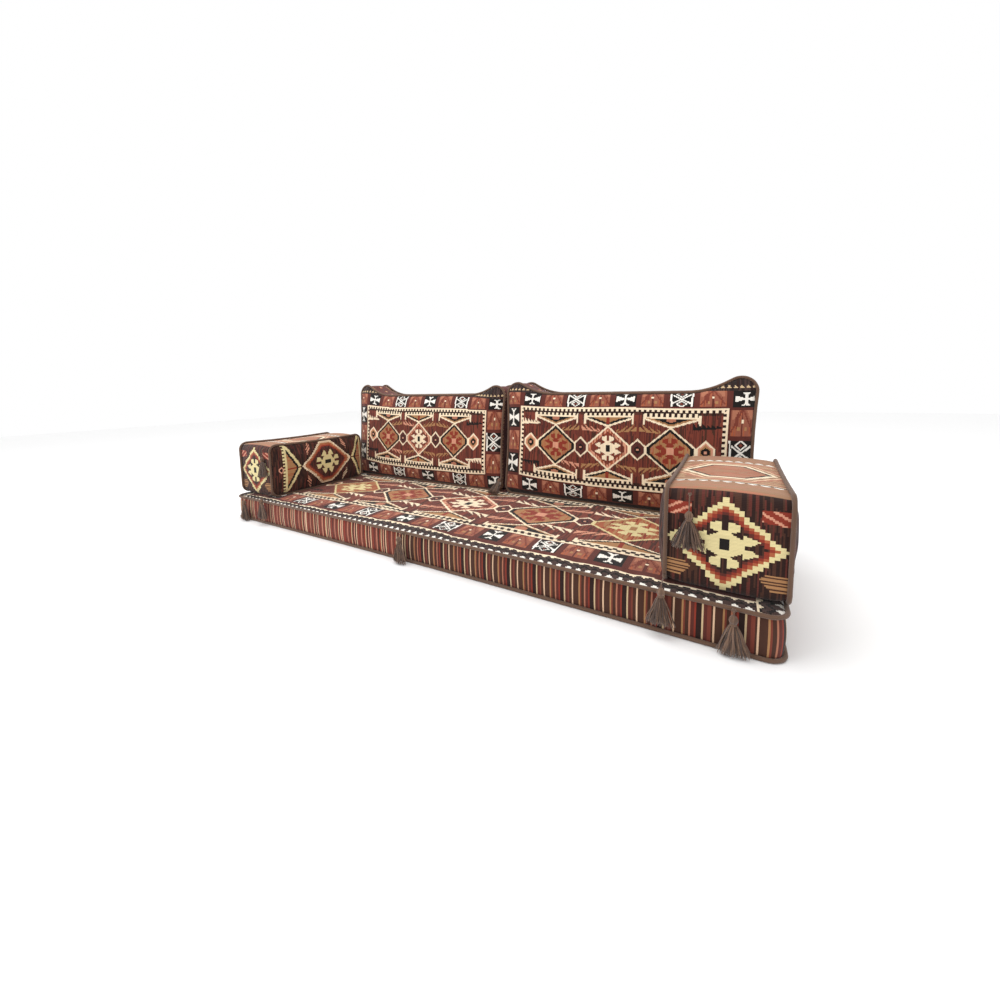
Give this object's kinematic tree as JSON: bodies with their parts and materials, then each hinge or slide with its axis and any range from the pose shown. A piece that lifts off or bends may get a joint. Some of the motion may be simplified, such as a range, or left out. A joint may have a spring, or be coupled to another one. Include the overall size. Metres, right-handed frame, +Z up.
{
  "type": "majlis floor sofa",
  "caption": "Low majlis floor sofa: a boxed seat mattress on the floor, two leaning back cushions and two arm cushions, in zipped kilim covers with corded welts and tassels.",
  "frame": {"origin": "on the floor, under the middle of the seat mattress", "axes": "+X along the sofa, to the right of someone who faces it; +Y to its back; +Z up from the floor"},
  "size_m": [2.0126, 0.7654, 0.5702],
  "materials": {
    "foam": "open-cell foam, matt",
    "kilim_cloth": "flat-woven wool, matt",
    "lining_cloth": "plain woven cotton, matt",
    "striped_boxing": "striped woven cloth, matt",
    "welt_cord": "twill over cord, matt",
    "tassel_yarn": "plied yarn, soft sheen",
    "zip_tape": "woven tape, matt",
    "zip_teeth": "moulded coil, satin",
    "zip_metal": "antique, satin"
  },
  "bodies": {
    "seat": {"seat_core": "foam", "seat_top_panel": "kilim_cloth", "seat_bottom_panel": "lining_cloth", "seat_boxing": "striped_boxing", "seat_top_welt": "welt_cord", "seat_bottom_welt": "welt_cord", "seat_zip_tape": "zip_tape", "seat_zip_chain": "zip_teeth"},
    "left_back": {"left_back_core": "foam", "left_back_front_panel": "kilim_cloth", "left_back_rear_panel": "kilim_cloth", "left_back_boxing": "kilim_cloth", "left_back_front_welt": "welt_cord", "left_back_rear_welt": "welt_cord", "left_back_zip_tape": "zip_tape", "left_back_zip_chain": "zip_teeth"},
    "right_back": {"right_back_core": "foam", "right_back_front_panel": "kilim_cloth", "right_back_rear_panel": "kilim_cloth", "right_back_boxing": "kilim_cloth", "right_back_front_welt": "welt_cord", "right_back_rear_welt": "welt_cord", "right_back_zip_tape": "zip_tape", "right_back_zip_chain": "zip_teeth"},
    "left_arm": {"left_arm_core": "foam", "left_arm_inner_panel": "kilim_cloth", "left_arm_outer_panel": "kilim_cloth", "left_arm_wrap": "kilim_cloth", "left_arm_inner_welt": "welt_cord", "left_arm_outer_welt": "welt_cord", "left_arm_zip_tape": "zip_tape", "left_arm_zip_chain": "zip_teeth"},
    "right_arm": {"right_arm_core": "foam", "right_arm_inner_panel": "kilim_cloth", "right_arm_outer_panel": "kilim_cloth", "right_arm_wrap": "kilim_cloth", "right_arm_inner_welt": "welt_cord", "right_arm_outer_welt": "welt_cord", "right_arm_zip_tape": "zip_tape", "right_arm_zip_chain": "zip_teeth"},
    "seat_zip_slider": {"seat_zip_slider": "zip_metal"},
    "seat_zip_pull": {"seat_zip_pull": "zip_metal"},
    "left_back_zip_slider": {"left_back_zip_slider": "zip_metal"},
    "left_back_zip_pull": {"left_back_zip_pull": "zip_metal"},
    "right_back_zip_slider": {"right_back_zip_slider": "zip_metal"},
    "right_back_zip_pull": {"right_back_zip_pull": "zip_metal"},
    "left_arm_zip_slider": {"left_arm_zip_slider": "zip_metal"},
    "left_arm_zip_pull": {"left_arm_zip_pull": "zip_metal"},
    "right_arm_zip_slider": {"right_arm_zip_slider": "zip_metal"},
    "right_arm_zip_pull": {"right_arm_zip_pull": "zip_metal"},
    "seat_left_tassel": {"seat_left_tassel": "tassel_yarn"},
    "seat_middle_tassel": {"seat_middle_tassel": "tassel_yarn"},
    "seat_right_tassel": {"seat_right_tassel": "tassel_yarn"},
    "left_arm_front_tassel": {"left_arm_front_tassel": "tassel_yarn"},
    "left_arm_corner_tassel": {"left_arm_corner_tassel": "tassel_yarn"},
    "right_arm_front_tassel": {"right_arm_front_tassel": "tassel_yarn"},
    "right_arm_corner_tassel": {"right_arm_corner_tassel": "tassel_yarn"},
    "left_back_tassel": {"left_back_tassel": "tassel_yarn"},
    "right_back_tassel": {"right_back_tassel": "tassel_yarn"}
  },
  "joints": [
    {"name": "left_back_lift", "type": "slide", "parent": "seat", "child": "left_back", "axis": [0, 0, 1], "range_m": [0, 0.35]},
    {"name": "right_back_lift", "type": "slide", "parent": "seat", "child": "right_back", "axis": [0, 0, 1], "range_m": [0, 0.35]},
    {"name": "left_arm_lift", "type": "slide", "parent": "seat", "child": "left_arm", "axis": [0, 0, 1], "range_m": [0, 0.35]},
    {"name": "right_arm_lift", "type": "slide", "parent": "seat", "child": "right_arm", "axis": [0, 0, 1], "range_m": [0, 0.35]},
    {"name": "seat_zip_slide", "type": "slide", "parent": "seat", "child": "seat_zip_slider", "axis": [1, 0, 0], "range_m": [0, 1.8217]},
    {"name": "seat_pull_swing", "type": "hinge", "parent": "seat_zip_slider", "child": "seat_zip_pull", "pos_m": [-0.91085, 0.34585, 0.0485], "axis": [0, 0, -1], "range_deg": [0, 170]},
    {"name": "left_back_zip_slide", "type": "slide", "parent": "left_back", "child": "left_back_zip_slider", "axis": [1, 0, 0], "range_m": [0, 0.7167]},
    {"name": "left_back_pull_swing", "type": "hinge", "parent": "left_back_zip_slider", "child": "left_back_zip_pull", "pos_m": [-0.75335, 0.35463, 0.13775], "axis": [0, 0, -1], "range_deg": [0, 170]},
    {"name": "right_back_zip_slide", "type": "slide", "parent": "right_back", "child": "right_back_zip_slider", "axis": [1, 0, 0], "range_m": [0, 0.7167]},
    {"name": "right_back_pull_swing", "type": "hinge", "parent": "right_back_zip_slider", "child": "right_back_zip_pull", "pos_m": [0.14965, 0.35463, 0.13775], "axis": [0, 0, -1], "range_deg": [0, 170]},
    {"name": "left_arm_zip_slide", "type": "slide", "parent": "left_arm", "child": "left_arm_zip_slider", "axis": [0, 1, 0], "range_m": [0, 0.3077]},
    {"name": "left_arm_pull_swing", "type": "hinge", "parent": "left_arm_zip_slider", "child": "left_arm_zip_pull", "pos_m": [-1.0036, -0.22785, 0.13855], "axis": [0, 0, -1], "range_deg": [0, 170]},
    {"name": "right_arm_zip_slide", "type": "slide", "parent": "right_arm", "child": "right_arm_zip_slider", "axis": [0, -1, 0], "range_m": [0, 0.3077]},
    {"name": "right_arm_pull_swing", "type": "hinge", "parent": "right_arm_zip_slider", "child": "right_arm_zip_pull", "pos_m": [1.0036, 0.07985, 0.13855], "axis": [0, 0, -1], "range_deg": [0, 170]},
    {"name": "seat_left_tassel_swing", "type": "hinge", "parent": "seat", "child": "seat_left_tassel", "pos_m": [-0.904, -0.35139, 0.095], "axis": [-1, 0, 0], "range_deg": [0, 80]},
    {"name": "seat_middle_tassel_swing", "type": "hinge", "parent": "seat", "child": "seat_middle_tassel", "pos_m": [0, -0.3439, 0.095], "axis": [-1, 0, 0], "range_deg": [0, 80]},
    {"name": "seat_right_tassel_swing", "type": "hinge", "parent": "seat", "child": "seat_right_tassel", "pos_m": [0.904, -0.35139, 0.095], "axis": [-1, 0, 0], "range_deg": [0, 80]},
    {"name": "left_arm_front_tassel_swing", "type": "hinge", "parent": "left_arm", "child": "left_arm_front_tassel", "pos_m": [-0.815, -0.30691, 0.312], "axis": [-1, 0, 0], "range_deg": [0, 80]},
    {"name": "left_arm_corner_tassel_swing", "type": "hinge", "parent": "left_arm", "child": "left_arm_corner_tassel", "pos_m": [-0.7685, -0.31642, 0.12085], "axis": [-1, 0, 0], "range_deg": [0, 80]},
    {"name": "right_arm_front_tassel_swing", "type": "hinge", "parent": "right_arm", "child": "right_arm_front_tassel", "pos_m": [0.815, -0.30691, 0.312], "axis": [-1, 0, 0], "range_deg": [0, 80]},
    {"name": "right_arm_corner_tassel_swing", "type": "hinge", "parent": "right_arm", "child": "right_arm_corner_tassel", "pos_m": [0.7685, -0.31642, 0.12085], "axis": [-1, 0, 0], "range_deg": [0, 80]},
    {"name": "left_back_tassel_swing", "type": "hinge", "parent": "left_back", "child": "left_back_tassel", "pos_m": [0.04463, 0.21176, 0.16601], "axis": [-1, 0, 0], "range_deg": [0, 60]},
    {"name": "right_back_tassel_swing", "type": "hinge", "parent": "right_back", "child": "right_back_tassel", "pos_m": [0.94503, 0.21727, 0.22375], "axis": [-1, 0, 0], "range_deg": [0, 9]}
  ]
}
